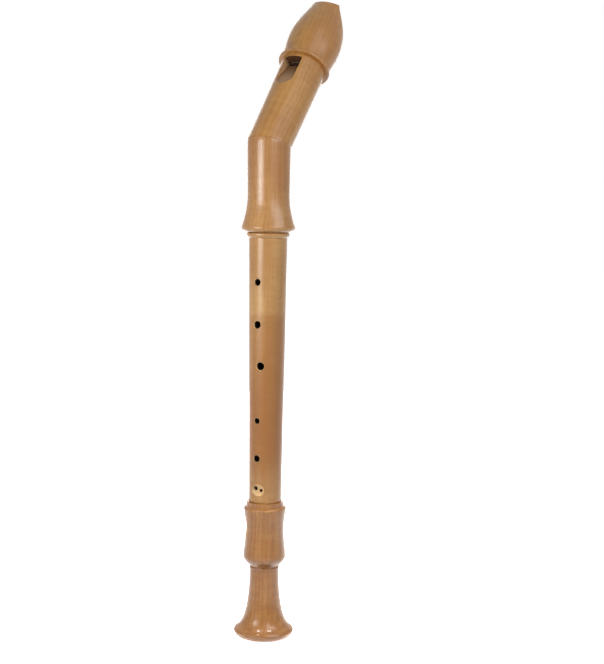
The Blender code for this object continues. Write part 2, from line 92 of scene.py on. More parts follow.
# %% [markdown]
# The photograph is taken from a little above the middle of the instrument and from the right of its
# front. A camera can be placed by eye, but the turned rings show as ellipses, and how open each one is
# tells how far away and how high the lens was. The camera fitted to them stands round the bore at that
# distance and height, and is then turned, tipped and rolled. The long side of the picture is the upright
# one, so the lens follows from its height.

# %% Camera
PICTURE_HEIGHT = 664
FOCAL_PIXELS = 1362.2
CAMERA_DISTANCE = 1355.67 * mm
CAMERA_HEIGHT = 457.52 * mm
CAMERA_ROUND = math.radians(33.63)
CAMERA_PITCH = math.radians(6.12)
CAMERA_YAW = math.radians(1.477)
CAMERA_ROLL = math.radians(0.864)

camera = bpy.data.objects.new("camera", bpy.data.cameras.new("camera"))
bpy.context.scene.collection.objects.link(camera)
camera.data.sensor_fit = "AUTO"
camera.data.sensor_width = 36.0
camera.data.lens = FOCAL_PIXELS * camera.data.sensor_width / PICTURE_HEIGHT
camera.matrix_world = (
    Matrix.Rotation(CAMERA_ROUND, 4, "Z")
    @ Matrix.Translation((0, -CAMERA_DISTANCE, CAMERA_HEIGHT))
    @ Matrix.Rotation(-CAMERA_YAW, 4, "Z")
    @ Matrix.Rotation(math.pi / 2 - CAMERA_PITCH, 4, "X")
    @ Matrix.Rotation(CAMERA_ROLL, 4, "Z")
)
bpy.context.scene.camera = camera
print(f"lens {camera.data.lens:.1f} mm at {CAMERA_DISTANCE:.2f} m")

# %% [markdown]
# Node trees get long when each node and link is a line of its own, and sums read best as sums. `Wire`
# wraps a node's output, so `1 - mask * 0.3` adds the Math nodes that it needs. `Nodes` makes every other
# node with a single method: its settings first, then the values or wires of its sockets. `Finish` is the
# same for a material.

# %% A small language for nodes


class Wire:
    """One output of a node, which can be used in a sum."""

    def __init__(self, nodes, socket):
        self.nodes = nodes
        self.socket = socket

    def maths(self, operation, *values):
        made = self.nodes.node("ShaderNodeMath", {"operation": operation}, dict(enumerate(values)))
        return made["Value"]

    def __add__(self, other):
        return self.maths("ADD", self, other)

    def __sub__(self, other):
        return self.maths("SUBTRACT", self, other)

    def __rsub__(self, other):
        return self.maths("SUBTRACT", other, self)

    def __mul__(self, other):
        return self.maths("MULTIPLY", self, other)

    def __truediv__(self, other):
        return self.maths("DIVIDE", self, other)

    def __rtruediv__(self, other):
        return self.maths("DIVIDE", other, self)

    __radd__ = __add__
    __rmul__ = __mul__

    def root(self):
        return self.maths("SQRT", self)

    def sine(self):
        return self.maths("SINE", self)

    def below(self, limit):
        return self.maths("LESS_THAN", self, limit)

    def either(self, other):
        """1 where this mask or the other one is 1."""
        return self.maths("MAXIMUM", self, other)

    def step(self, low, high):
        """0 below low, 1 above high and smooth between them."""
        made = self.nodes.node(
            "ShaderNodeMapRange",
            {"interpolation_type": "SMOOTHSTEP"},
            {"Value": self, "From Min": low, "From Max": high},
        )
        return made["Result"]


class Made:
    """A new node, whose outputs are wires, by name or by number."""

    def __init__(self, nodes, node):
        self.nodes = nodes
        self.made = node

    def __getitem__(self, name):
        return Wire(self.nodes, self.made.outputs[name])


class Nodes:
    """A node tree and the one method that adds nodes to it."""

    def __init__(self, tree):
        self.tree = tree
        self.tree.nodes.clear()

    def node(self, kind, settings=None, inputs=None):
        node = self.tree.nodes.new(kind)
        for key, value in (settings or {}).items():
            if key == "stops":
                self.set_stops(node.color_ramp, value)
            else:
                setattr(node, key, value)
        for key, value in (inputs or {}).items():
            if isinstance(value, Wire):
                self.tree.links.new(value.socket, node.inputs[key])
            else:
                node.inputs[key].default_value = value
        return Made(self, node)

    def set_stops(self, ramp, stops):
        while len(ramp.elements) < len(stops):
            ramp.elements.new(1.0)
        for element, (place, colour) in zip(ramp.elements, stops):
            element.position = place
            element.color = colour


RELIEF = 0.1 * mm


class Finish(Nodes):
    """The nodes of one material."""

    def __init__(self, name):
        self.material = bpy.data.materials.new(name)
        self.material.use_nodes = True
        super().__init__(self.material.node_tree)

    def mix(self, factor, first, second):
        """Mixes two colours. A Mix node's colour sockets are its seventh and eighth."""
        return self.node("ShaderNodeMix", {"data_type": "RGBA"}, {0: factor, 6: first, 7: second})[2]

    def surface(self, shader):
        self.node("ShaderNodeOutputMaterial", {}, {"Surface": shader})
        return self.material

    def skin(self, colour, roughness, height, strength):
        """The usual end of a finish: a colour, how rough it is, and a relief of a tenth of a millimetre."""
        bump = self.node("ShaderNodeBump", {}, {"Height": height, "Strength": strength, "Distance": RELIEF})
        inputs = {"Base Color": colour, "Roughness": roughness, "Normal": bump["Normal"]}
        return self.surface(self.node("ShaderNodeBsdfPrincipled", {}, inputs)["BSDF"])


def paint(red, green, blue):
    """A colour as a picture shows it, 0 to 255, turned into the light values that a shader mixes."""

    def light(part):
        part /= 255.0
        return part / 12.92 if part <= 0.04045 else ((part + 0.055) / 1.055) ** 2.4

    return (light(red), light(green), light(blue), 1.0)


# %% [markdown]
# Pearwood is pale and close-grained, and this instrument's is stained honey brown and oiled. What shows
# is fine fibre along each turned length, wider streaks, faint growth rings that the lathe cuts into long
# flames, and cloudy warm patches where the stain took more. A picture of wood wrapped round the piece
# would stretch and break at every cut. So the pattern is solid: it is worked out in space along the
# piece's own axis, and it also meets the end grain and the holes as it should.

# %% The grain of pearwood
FIBRE = (1500.0, 1500.0, 36.0)
STREAK = (170.0, 170.0, 5.0)
FIGURE = (60.0, 60.0, 190.0)
CLOUD = (24.0, 24.0, 9.0)
PORE = (2600.0, 2600.0, 260.0)
RING_SPACING = 4.2 * mm
PITH = (-46.0 * mm, 31.0 * mm)
STAIN_WAVE = 6.0 * mm


def grain_place(finish, axis_frame=Matrix(), shift=(0, 0, 0)):
    """Object coordinates along the piece's own axis, moved so that no two pieces share a figure."""
    place = finish.node("ShaderNodeTexCoord")["Object"]
    move = {"Vector": place, "Location": axis_frame.to_translation(), "Rotation": axis_frame.to_euler()}
    along = finish.node("ShaderNodeMapping", {"vector_type": "TEXTURE"}, move)["Vector"]
    return finish.node("ShaderNodeVectorMath", {"operation": "ADD"}, {0: along, 1: shift})["Vector"]


def noise(finish, place, stretch, detail=2.0, rough=0.5):
    """Soft noise, 0 to 1, with its own number of bumps to a metre along each axis."""
    scaled = finish.node("ShaderNodeVectorMath", {"operation": "MULTIPLY"}, {0: place, 1: stretch})
    inputs = {"Vector": scaled["Vector"], "Scale": 1.0, "Detail": detail, "Roughness": rough}
    return finish.node("ShaderNodeTexNoise", {}, inputs)["Fac"]


def growth_rings(split, cloud):
    """Rings round a pith that lies beside the piece, a little uneven, as 0 to 1."""
    across = split["X"] - PITH[0]
    deep = split["Y"] - PITH[1]
    count = (across * across + deep * deep).root() / RING_SPACING + cloud * 3.0
    return (count * (2.0 * math.pi)).sine() * 0.5 + 0.5


def stain_length(blotch, height, cloud, stained):
    """More stain between two heights: it comes in slowly from below and ends in a soft, uneven edge."""
    low = stained[0] * mm
    high = stained[1] * mm
    wavy = height + (cloud - 0.5) * STAIN_WAVE
    entering = wavy.step(low - 50 * mm, low) * 0.6 + 0.4
    fading = 1 - wavy.step(low + 20 * mm, high) * 0.4
    zone = entering * (1 - wavy.step(high - 7 * mm, high + 4 * mm)) * fading
    edge = wavy.step(high - 5 * mm, high - 1 * mm) * (1 - wavy.step(high - 1 * mm, high + 3 * mm))
    return blotch * (1 - zone) + zone * 0.9 + edge * 0.1


# %% [markdown]
# One function makes every pearwood surface, because they differ only in their colours and their gloss:
# four stained outsides, the carved ramp and the freshly pared wood at the window, the raw wood of the
# scoops, the oiled bore and the sides of the finger holes. The colours are those that a picture of the
# instrument shows, in the order dark, middle, light and warm. The middle joint has a length that took
# more stain. The ramp is coloured darker than the outside as painted shade, and its painted shade deepens
# towards the labium. The finger holes' sides are painted nearly black, as the shade inside them.

# %% Pearwood
HONEY = ((150, 95, 41), (170, 113, 54), (186, 134, 71), (150, 89, 41))
TAWNY = ((160, 110, 58), (181, 131, 74), (198, 152, 94), (160, 100, 50))
AMBER = ((173, 125, 70), (193, 148, 89), (209, 168, 110), (153, 93, 31))
GOLD = ((160, 110, 50), (186, 134, 68), (204, 156, 90), (158, 102, 52))
# The ramp's colours are darker than the stained outside: painted shade of the recess under the window.
CARVED_SHADED = ((128, 92, 54), (150, 110, 66), (168, 128, 82), (132, 94, 54))
PARED = ((164, 122, 82), (190, 148, 106), (208, 166, 124), (176, 132, 90))
RAW = ((190, 148, 96), (212, 172, 118), (226, 190, 140), (204, 160, 108))
BORE = ((74, 46, 26), (92, 60, 36), (108, 74, 46), (84, 52, 30))
# Painted shade: the sides of the finger holes are coloured nearly black, as the shade inside a hole.
HOLE_SHADE = ((30, 22, 17), (38, 28, 21), (46, 34, 26), (34, 24, 18))
# Painted shade on the ramp: this colour comes in towards the labium.
PAINTED_RAMP_SHADE = (90, 62, 38)
STAINED_LENGTH = (192, 330)
# The heights in millimetres between which the ramp's painted shade comes in.
PAINTED_SHADE_HEIGHTS = (62, 92)


def pearwood(name, colours, gloss, axis_frame=Matrix(), shift=(0, 0, 0), stained=None, painted_shade=None):
    """Stained, oiled pearwood. The two heights of stained bound a darker length. The last argument gives two
    heights, and towards the upper one a painted shade of the ramp comes in. Both are in millimetres, for a
    figure that isn't lifted."""
    dark, middle, light, warm = colours
    finish = Finish(name)
    place = grain_place(finish, axis_frame, shift)
    fibre = noise(finish, place, FIBRE, 3.0, 0.6)
    streak = noise(finish, place, STREAK, 2.0, 0.55)
    figure = noise(finish, place, FIGURE, 2.0, 0.5)
    cloud = noise(finish, place, CLOUD, 1.5)
    pore = noise(finish, place, PORE, 0.0).step(0.64, 0.76)
    split = finish.node("ShaderNodeSeparateXYZ", {}, {0: place})

    tone = fibre * 0.32 + streak * 0.36 + figure * 0.26 + growth_rings(split, cloud) * 0.07
    stops = [(0.3, paint(*dark)), (0.5, paint(*middle)), (0.7, paint(*light))]
    wood = finish.node("ShaderNodeValToRGB", {"stops": stops}, {"Fac": tone})["Color"]
    blotch = cloud.step(0.4, 0.68) * 0.5
    if stained:
        blotch = stain_length(blotch, split["Z"], cloud, stained)
    wood = finish.mix(blotch, wood, paint(*warm))
    # Painted shade: the ramp darkens towards the labium.
    if painted_shade:
        shade = split["Z"].step(painted_shade[0] * mm, painted_shade[1] * mm) * 0.85
        wood = finish.mix(shade, wood, paint(*PAINTED_RAMP_SHADE))
    wood = finish.mix(pore * 0.16, wood, paint(*(0.55 * part for part in dark)))

    roughness = fibre * 0.08 + pore * 0.2 + (gloss - 0.03)
    return finish.skin(wood, roughness, fibre * 0.6 - pore * 0.8 + streak * 0.3, 0.06)


along_head = {"axis_frame": HEAD_FRAME, "shift": (0.1, 0.4, 0.0)}
foot_wood = pearwood("foot_pearwood", HONEY, 0.22, shift=(0.3, 0.1, 0.02))
body_wood = pearwood("body_pearwood", AMBER, 0.3, stained=STAINED_LENGTH)
neck_wood = pearwood("neck_pearwood", TAWNY, 0.26, shift=(0.7, 0.2, 0.05))
head_wood = pearwood("head_pearwood", GOLD, 0.31, **along_head)
# The ramp's floor: carved wood coloured darker as painted shade, darkest at the labium.
shaded_ramp_wood = pearwood("shaded_ramp_pearwood", CARVED_SHADED, 0.45, **along_head, painted_shade=PAINTED_SHADE_HEIGHTS)
pared_wood = pearwood("pared_pearwood", PARED, 0.45, **along_head)
raw_wood = pearwood("raw_pearwood", RAW, 0.5)
bore_wood = pearwood("oiled_bore", BORE, 0.4, shift=(0.2, 0.2, 0.2))
# The finger holes' sides: near-black painted shade.
hole_shade_wood = pearwood("shaded_hole_walls", HOLE_SHADE, 0.55, shift=(0.2, 0.2, 0.2))
print("woods:", foot_wood.name, body_wood.name, neck_wood.name, head_wood.name)

# %% [markdown]
# The block is cedar: straighter and redder than pear, left raw because it has to take up the breath's
# moisture. Its end at the window is painted nearly black, as the shade that falls there. The sleeves are
# sheet cork, a mosaic of pale grains with dark crumbs between them. Cedar needs only two noises drawn
# out along the block. For cork a Voronoi pattern fits, because each of its cells has a shade and an
# edge of its own.

# %% Cedar and cork
CEDAR_FIBRE = (1400.0, 1400.0, 30.0)
CEDAR_BANDS = (90.0, 700.0, 4.0)
CORK_GRAINS = 850.0
CORK_CRUMBS = (600.0, 600.0, 600.0)


def cedar(name, axis_frame, shaded_end):
    """Raw pencil cedar: straight narrow rings and a dry surface, with painted shade on its end at the window.
    """
    finish = Finish(name)
    place = grain_place(finish, axis_frame, (0.05, 0.02, 0.0))
    fibre = noise(finish, place, CEDAR_FIBRE, 3.0, 0.6)
    bands = noise(finish, place, CEDAR_BANDS, 1.0)
    stops = [(0.3, paint(142, 84, 52)), (0.5, paint(176, 112, 72)), (0.72, paint(198, 138, 94))]
    wood = finish.node("ShaderNodeValToRGB", {"stops": stops}, {"Fac": fibre * 0.4 + bands * 0.6})["Color"]
    height = finish.node("ShaderNodeSeparateXYZ", {}, {0: place})["Z"]
    # Painted shade: the end at the window is coloured nearly black, up to six millimetres along the block.
    end_shade = 1 - height.step((shaded_end + 0.2) * mm, (shaded_end + 6.0) * mm)
    wood = finish.mix(end_shade * 0.9, wood, paint(46, 38, 34))
    return finish.skin(wood, fibre * 0.1 + 0.55, fibre, 0.25)


def cork(name):
    """Sheet cork: grains a millimetre across, each its own shade, with dark gaps."""
    finish = Finish(name)
    place = grain_place(finish)
    cells = {"Vector": place, "Scale": CORK_GRAINS, "Randomness": 1.0}
    grain = finish.node("ShaderNodeTexVoronoi", {"feature": "F1"}, cells)
    edge = finish.node("ShaderNodeTexVoronoi", {"feature": "DISTANCE_TO_EDGE"}, cells)["Distance"]
    shade = finish.node("ShaderNodeSeparateColor", {}, {0: grain["Color"]})["Red"]
    crumbs = noise(finish, place, CORK_CRUMBS, 2.0).step(0.6, 0.72)
    tan = finish.mix(shade, paint(176, 128, 82), paint(206, 164, 116))
    tan = finish.mix(crumbs * 0.7, tan, paint(104, 66, 40))
    tan = finish.mix(1 - edge.step(0.0, 0.08), tan, paint(140, 96, 60))
    return finish.skin(tan, shade * 0.1 + 0.75, edge.step(0.0, 0.15) - crumbs * 0.6, 0.4)


sleeve_cork = cork("sheet_cork")
print("sleeves:", sleeve_cork.name)

# %% [markdown]
# A turner works from a template: the outline of half the piece, held against the work as it spins. Here
# each template is a closed line of radius and height in millimetres. `corner` breaks an edge with a small
# arc, as the turner's abrasive does. `bend` draws the long curves from two handles, each given as a step
# away from its end, so a curve follows when a radius or a height is changed.

# %% Templates
EDGE = 0.4


class Template:
    """Half the outline of a turned piece, as (radius, height) in millimetres."""

    def __init__(self, radius, height):
        self.points = [(radius, height)]

    def line(self, *points):
        self.points += points
        return self

    def corner(self, radius, height, following, size=EDGE, steps=4):
        """A rounded corner at (radius, height) on the way to the point that follows."""
        corner = Vector((radius, height))
        start = corner + (Vector(self.points[-1]) - corner).normalized() * size
        end = corner + (Vector(following) - corner).normalized() * size
        for i in range(steps + 1):
            t = i / steps
            spot = start * (1 - t) ** 2 + corner * 2 * t * (1 - t) + end * t * t
            self.points.append(tuple(spot))
        return self

    def bend(self, leave, arrive, end, steps=16):
        """A cubic curve to end, whose handles are a step away from its start and from its end."""
        start = self.points[-1]
        handles = [(start[k] + leave[k], end[k] + arrive[k]) for k in (0, 1)]
        for i in range(1, steps + 1):
            t = i / steps
            weights = ((1 - t) ** 3, 3 * t * (1 - t) ** 2, 3 * t * t * (1 - t), t**3)
            spot = [sum(w * p for w, p in zip(weights, (start[k], *handles[k], end[k]))) for k in (0, 1)]
            self.points.append(tuple(spot))
        return self


# %% [markdown]
# One node tree is the lathe, so that every turned length is made alike. It takes a template, stands it
# up, sweeps it round a small circle and gives the outside and the bore their woods. The bore is told from
# the outside by its faces: they look towards the axis. The circle has a radius of one millimetre, because
# a sweep needs a path with a direction, and the template is moved in by the same millimetre.

# %% The lathe
TURNING_STEPS = 160
PATH_RADIUS = 1.0 * mm
SEAM = 0.001 * mm
LATHE_SOCKETS = (
    ("Template", "NodeSocketObject"),
    ("Steps", "NodeSocketInt"),
    ("Path Radius", "NodeSocketFloat"),
    ("Outside", "NodeSocketMaterial"),
    ("Inside", "NodeSocketMaterial"),
)


def lathe_tree():
    tree = bpy.data.node_groups.new("lathe", "GeometryNodeTree")
    for name, kind in LATHE_SOCKETS:
        tree.interface.new_socket(name, in_out="INPUT", socket_type=kind)
    tree.interface.new_socket("Geometry", in_out="OUTPUT", socket_type="NodeSocketGeometry")

    lathe = Nodes(tree)
    given = lathe.node("NodeGroupInput")
    template = lathe.node("GeometryNodeObjectInfo", {}, {"Object": given["Template"]})["Geometry"]
    inwards = lathe.node("ShaderNodeCombineXYZ", {}, {"X": given["Path Radius"] * -1.0})["Vector"]
    stand = {"Geometry": template, "Translation": inwards, "Scale": (1.0, -1.0, 1.0)}
    upright = lathe.node("GeometryNodeTransform", {}, stand)["Geometry"]
    circle = {"Resolution": given["Steps"], "Radius": given["Path Radius"]}
    path = lathe.node("GeometryNodeCurvePrimitiveCircle", {"mode": "RADIUS"}, circle)["Curve"]
    sweep = lathe.node("GeometryNodeCurveToMesh", {}, {"Curve": path, "Profile Curve": upright})["Mesh"]
    flipped = lathe.node("GeometryNodeFlipFaces", {}, {"Mesh": sweep})["Mesh"]
    seam = {"Geometry": flipped, "Distance": SEAM}
    closed = lathe.node("GeometryNodeMergeByDistance", {}, seam)["Geometry"]

    position = lathe.node("GeometryNodeInputPosition")["Position"]
    normal = lathe.node("GeometryNodeInputNormal")["Normal"]
    level = {0: position, 1: (1, 1, 0)}
    flat = lathe.node("ShaderNodeVectorMath", {"operation": "MULTIPLY"}, level)["Vector"]
    outwards = lathe.node("ShaderNodeVectorMath", {"operation": "NORMALIZE"}, {0: flat})["Vector"]
    facing = lathe.node("ShaderNodeVectorMath", {"operation": "DOT_PRODUCT"}, {0: normal, 1: outwards})

    real = lathe.node("GeometryNodeRealizeInstances", {}, {"Geometry": closed})["Geometry"]
    everywhere = {"Geometry": real, "Material": given["Outside"]}
    outside = lathe.node("GeometryNodeSetMaterial", {}, everywhere)["Geometry"]
    bore = {"Geometry": outside, "Selection": facing["Value"].below(-0.5), "Material": given["Inside"]}
    both = lathe.node("GeometryNodeSetMaterial", {}, bore)["Geometry"]
    lathe.node("NodeGroupOutput", {}, {"Geometry": both})
    return tree


LATHE = lathe_tree()
LATHE_INPUTS = {s.name: s.identifier for s in LATHE.interface.items_tree if s.in_out == "INPUT"}
print("the lathe's inputs:", list(LATHE_INPUTS))

# %% [markdown]
# A turned piece is the lathe's modifier on an empty mesh, and `settle` makes the result a plain mesh. The
# template is a curve of its own that goes away afterwards, and the piece's place ends up in its mesh.

# %% Turning a piece


def link(name, data):
    obj = bpy.data.objects.new(name, data)
    bpy.context.scene.collection.objects.link(obj)
    return obj


def settle(obj):
    """Applies the object's modifiers: what they make becomes its plain mesh."""
    bpy.context.view_layer.update()
    made = bpy.data.meshes.new_from_object(obj.evaluated_get(bpy.context.evaluated_depsgraph_get()))
    obj.modifiers.clear()
    obj.data = made


def turned(name, template, outside, axis_frame=Matrix()):
    """Spins a template on the lathe and returns the piece, in place on its axis and with an oiled bore."""
    line = bpy.data.curves.new(f"{name}_template", "CURVE")
    line.dimensions = "3D"
    spline = line.splines.new("POLY")
    spline.points.add(len(template.points) - 1)
    for point, (radius, height) in zip(spline.points, template.points):
        point.co = (radius * mm, height * mm, 0.0, 1.0)
    spline.use_cyclic_u = True
    held = link(f"{name}_template", line)

    piece = link(name, bpy.data.meshes.new(name))
    spin = piece.modifiers.new("lathe", "NODES")
    spin.node_group = LATHE
    spin[LATHE_INPUTS["Template"]] = held
    spin[LATHE_INPUTS["Steps"]] = TURNING_STEPS
    spin[LATHE_INPUTS["Path Radius"]] = PATH_RADIUS
    spin[LATHE_INPUTS["Outside"]] = outside
    spin[LATHE_INPUTS["Inside"]] = bore_wood
    settle(piece)
    bpy.data.objects.remove(held)
    piece.data.transform(axis_frame)
    return piece


# %% [markdown]
# Everything that isn't round is cut afterwards, as on the bench. A cut could be modelled face by face,
# but a Boolean modifier follows the bench more closely: a cutter brings its own wood, so the faces that
# it leaves can be raw or carved while the outside stays stained. `finish_edges` cleans the cut mesh,
# keeps the true edges crisp and the turned faces smooth, and hands the piece over in place of the
# measured one.

# %% Cutting tools
MERGE = 0.002 * mm
SHARP = math.radians(34.0)


def solid(name, rings, wood, axis_frame=Matrix(), second_wood=None, is_second=None):
    """A closed cutter through equal rings. is_second(band, side) picks the faces of the second wood."""
    bm = bmesh.new()
    loops = [[bm.verts.new(Vector(p) * mm) for p in ring] for ring in rings]
    for band, (low, high) in enumerate(zip(loops, loops[1:])):
        for i in range(len(low)):
            j = (i + 1) % len(low)
            face = bm.faces.new((low[i], low[j], high[j], high[i]))
            face.material_index = int(second_wood is not None and is_second(band, i))
    bm.faces.new(loops[0])
    bm.faces.new(loops[-1])
    bmesh.ops.recalc_face_normals(bm, faces=bm.faces)
    bm.transform(axis_frame)
    mesh = bpy.data.meshes.new(name)
    bm.to_mesh(mesh)
    bm.free()
    mesh.materials.append(wood)
    if second_wood:
        mesh.materials.append(second_wood)
    return link(name, mesh)


def carve(piece, *cutters):
    """Cuts the piece with each cutter in turn and takes the cutters away."""
    for cutter in cutters:
        modifier = piece.modifiers.new(cutter.name, "BOOLEAN")
        modifier.operation = "DIFFERENCE"
        modifier.solver = "EXACT"
        modifier.material_mode = "TRANSFER"
        modifier.object = cutter
        settle(piece)
        bpy.data.objects.remove(cutter)


def part_woods(mesh):
    """Marks the edges between two woods as sharp, so that a cut doesn't bend the shading of the wall."""
    bm = bmesh.new()
    bm.from_mesh(mesh)
    for edge in bm.edges:
        if len({face.material_index for face in edge.link_faces}) > 1:
            edge.smooth = False
    bm.to_mesh(mesh)
    bm.free()


def finish_edges(piece, body, node):
    """Closes and smooths the mesh, keeps true edges, and lets the piece stand for its measured node."""
    bm = bmesh.new()
    bm.from_mesh(piece.data)
    bmesh.ops.remove_doubles(bm, verts=bm.verts, dist=MERGE)
    bmesh.ops.dissolve_degenerate(bm, edges=bm.edges, dist=MERGE)
    bmesh.ops.holes_fill(bm, edges=[e for e in bm.edges if e.is_boundary], sides=0)
    bmesh.ops.recalc_face_normals(bm, faces=bm.faces)
    volume = bm.calc_volume(signed=True) / mm**3 / 1000
    open_edges = sum(1 for e in bm.edges if not e.is_manifold)
    bm.to_mesh(piece.data)
    bm.free()
    piece.data.shade_smooth()
    piece.data.set_sharp_from_angle(angle=SHARP)
    part_woods(piece.data)
    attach(piece, body)
    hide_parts(node)
    print(f"{piece.name}: {len(piece.data.polygons)} faces, {volume:.1f} cm3, {open_edges} open edges")


# %% [markdown]
# A finger hole is drilled from the side, some of them at a slant, and its rim is softened for the
# finger. The drill here is a stack of rings that widens where it meets the round wall. Its sides are
# painted nearly black as painted shade, and its mouth is raw. Where two small holes lie under one finger,
# a gouge first dishes the wall, and a ball that is set into the wall leaves the same dish.

# %% Finger holes and scoops
HOLE_POINTS = 38
RIM_STEPS = 4
SOFT_RIM = 0.45
CRISP_RIM = 0.2
RAW_DEPTH = 1.0
DRILL_REACH = 0.35
DRILL_PROUD = 1.5


def at_the_wall(height, turn):
    """The frame at a height on the bore, turned by degrees from the front."""
    return Matrix.Translation((0, 0, height * mm)) @ Matrix.Rotation(math.radians(turn), 4, "Z")


def hole_cutter(name, height, turn, radius, slant, wall, rim=SOFT_RIM):
    """A drill from the side whose mouth flares where it meets the round wall, as a softened rim does."""
    depths = [(radius, wall - DRILL_REACH * wall), (radius, rim + RAW_DEPTH), (radius, rim)]
    for i in range(1, RIM_STEPS + 1):
        angle = math.radians(90.0 * i / RIM_STEPS)
        depths.append((radius + rim * (1 - math.cos(angle)), rim * (1 - math.sin(angle))))
    depths.append((radius + rim + 0.1, -DRILL_PROUD))
    rings = []
    for size, depth in depths:
        ring = []
        for i in range(HOLE_POINTS):
            angle = 2 * math.pi * i / HOLE_POINTS
            x = size * math.cos(angle)
            drop = wall - math.sqrt(wall * wall - x * x) if depth < wall / 2 else 0.0
            y = -(wall - drop - depth)
            z = size * math.sin(angle) - depth * math.tan(math.radians(slant))
            ring.append((x, y, z))
        rings.append(ring)
    # The deepest band of the drill leaves the near-black wood of painted shade; the mouth is raw.
    return solid(name, rings, raw_wood, at_the_wall(height, turn), hole_shade_wood, lambda band, side: band == 0)


def scoop_cutter(name, height, turn, wall, ball, depth, sweep=(1.0, 1.0, 1.0)):
    """A gouge's stroke, which dishes the wall. sweep stretches its ball along each axis."""
    bm = bmesh.new()
    bmesh.ops.create_uvsphere(bm, u_segments=72, v_segments=48, radius=ball * mm)
    centre = Matrix.Translation((0, -(wall - depth + ball) * mm, 0))
    bm.transform(at_the_wall(height, turn) @ centre @ Matrix.Diagonal((*sweep, 1)))
    mesh = bpy.data.meshes.new(name)
    bm.to_mesh(mesh)
    bm.free()
    mesh.materials.append(raw_wood)
    return link(name, mesh)


# %% [markdown]
# The foot is the most turned piece: a flared bell, a slim stem that ends in a bead, and a waisted
# barrel whose top is the socket. On the lathe that is one template. Its corners are named places, as
# (radius, height), and what lies between them are curves. The pair of holes for the little finger sits
# in a raw scoop round the side, which shows in profile from the front.

# %% Foot
SOCKET_RADIUS = 14.45
SOCKET_END_GAP = 0.6
FOOT_BORE_TOP = 9.6
FOOT_THROAT = (8.6, 26.0)
FOOT_BORE_MOUTH = 9.8
BELL_EDGE = (23.2, 0.0)
BELL_LIP = (30.5, 6.2)
BELL_CROWN = (28.9, 8.9)
STEM_TOP = (14.65, 70.2)
BEAD_TOP = (14.75, 73.0)
LOWER_SWELL = (21.6, 83.8)
BARREL_WAIST = (19.35, 108.0)
UPPER_SWELL = (21.45, 132.2)
BARREL_SHOULDER = (18.65, 135.8)
RIM_RADIUS = 18.85
RIM_FOOT = 136.3
FOOT_SCOOP = {"height": 111.5, "turn": -50.0, "ball": 12.0, "depth": 4.0}
FOOT_HOLES = (("foot_large", 111.5, -61.0, 2.5, 0.0), ("foot_small", 111.5, -39.0, 1.8, 0.0))
FOOT_SCOOP_FLOOR = 2.6


def foot_template():
    template = Template(*BELL_EDGE)
    template.bend((2.4, 0.1), (-0.1, -3.3), BELL_LIP, 12)
    template.bend((0.0, 0.9), (0.6, -1.0), BELL_CROWN, 6)
    template.bend((-9.9, 5.0), (0.45, -34.0), STEM_TOP, 30)
    template.bend((0.75, 0.0), (0.65, 0.0), BEAD_TOP, 8)
    template.bend((1.3, 2.0), (0.1, -4.5), LOWER_SWELL, 14)
    template.bend((0.0, 3.6), (0.6, -12.1), BARREL_WAIST, 16)
    template.bend((-0.2, 12.1), (-0.9, -8.0), UPPER_SWELL, 14)
    template.bend((0.3, 1.8), (1.8, -1.2), BARREL_SHOULDER, 10)
    template.corner(RIM_RADIUS, RIM_FOOT, (RIM_RADIUS, FOOT_RIM), 0.3)
    template.corner(RIM_RADIUS, FOOT_RIM, (SOCKET_RADIUS, FOOT_RIM), 0.6)
    template.corner(SOCKET_RADIUS, FOOT_RIM, (SOCKET_RADIUS, TENON_END))
    shoulder = TENON_END - SOCKET_END_GAP
    template.line((SOCKET_RADIUS, shoulder), (FOOT_BORE_TOP, shoulder), FOOT_THROAT)
    return template.corner(FOOT_BORE_MOUTH, 0.0, BELL_EDGE)


def make_foot():
    foot = turned("foot", foot_template(), foot_wood)
    wall = BARREL_WAIST[0]
    cutters = [scoop_cutter("foot_scoop", wall=wall, **FOOT_SCOOP)]
    for hole in FOOT_HOLES:
        cutters.append(hole_cutter(*hole, wall - FOOT_SCOOP_FLOOR, CRISP_RIM))
    carve(foot, *cutters)
    finish_edges(foot, "foot", "foot_joint")


make_foot()

# %% [markdown]
# The middle joint is a plain tapering tube, so its truth lies in the holes: each has its own size,
# slant and place under a finger. The lathe takes the long wall in many short courses, because a Boolean
# leaves a few very long triangles on a wall without them, and those catch the light as streaks. A collar
# closes the top under the neck, and the tenons carry grooves for the cork.

# %% Middle joint
BODY_RADIUS_LOW = 16.4
BODY_RADIUS_HIGH = 19.05
BODY_BORE_LOW = 10.0
BODY_BORE_HIGH = 12.6
BODY_COURSES = 90
COLLAR_LOW = BODY_TOP - 5.2
COLLAR_RADIUS = BODY_RADIUS_HIGH + 2.1
LOWER_TENON_RADIUS = 13.8
UPPER_TENON_RADIUS = 15.65
TENON_CHAMFER = 0.6
CORK_LAND = 4.0
CORK_DEPTH = 1.0
# Name, height, turn from the front, radius and slant.
HOLES = (
    ("hole_1", 362.5, 0.0, 3.5, 8.0),
    ("hole_2", 320.3, 0.0, 3.9, 4.0),
    ("hole_3", 279.0, 12.5, 4.1, -6.0),
    ("hole_4", 223.8, 1.0, 3.1, 8.0),
    ("hole_5", 185.6, 0.5, 3.6, 5.0),
    ("thumb_hole", 384.0, 180.0, 3.7, 0.0),
)
RING_FINGER_SCOOP = {"height": 153.6, "turn": 6.0, "ball": 14.0, "depth": 2.2, "sweep": (1.6, 1.0, 0.79)}
RING_FINGER_HOLES = (("hole_6_large", 155.0, -6.0, 2.2, 0.0), ("hole_6_small", 153.2, 17.5, 1.6, 0.0))
RING_FINGER_FLOOR = 1.7


def body_radius(height):
    share = (height - BODY_END) / (COLLAR_LOW - BODY_END)
    return BODY_RADIUS_LOW + share * (BODY_RADIUS_HIGH - BODY_RADIUS_LOW)


def tenon(template, radius, low, high):
    """A tenon's wall with the groove for its cork, upwards."""
    start = low + CORK_LAND
    end = high - CORK_LAND
    floor = radius - CORK_DEPTH
    template.line((radius, start), (floor, start), (floor, end), (radius, end))


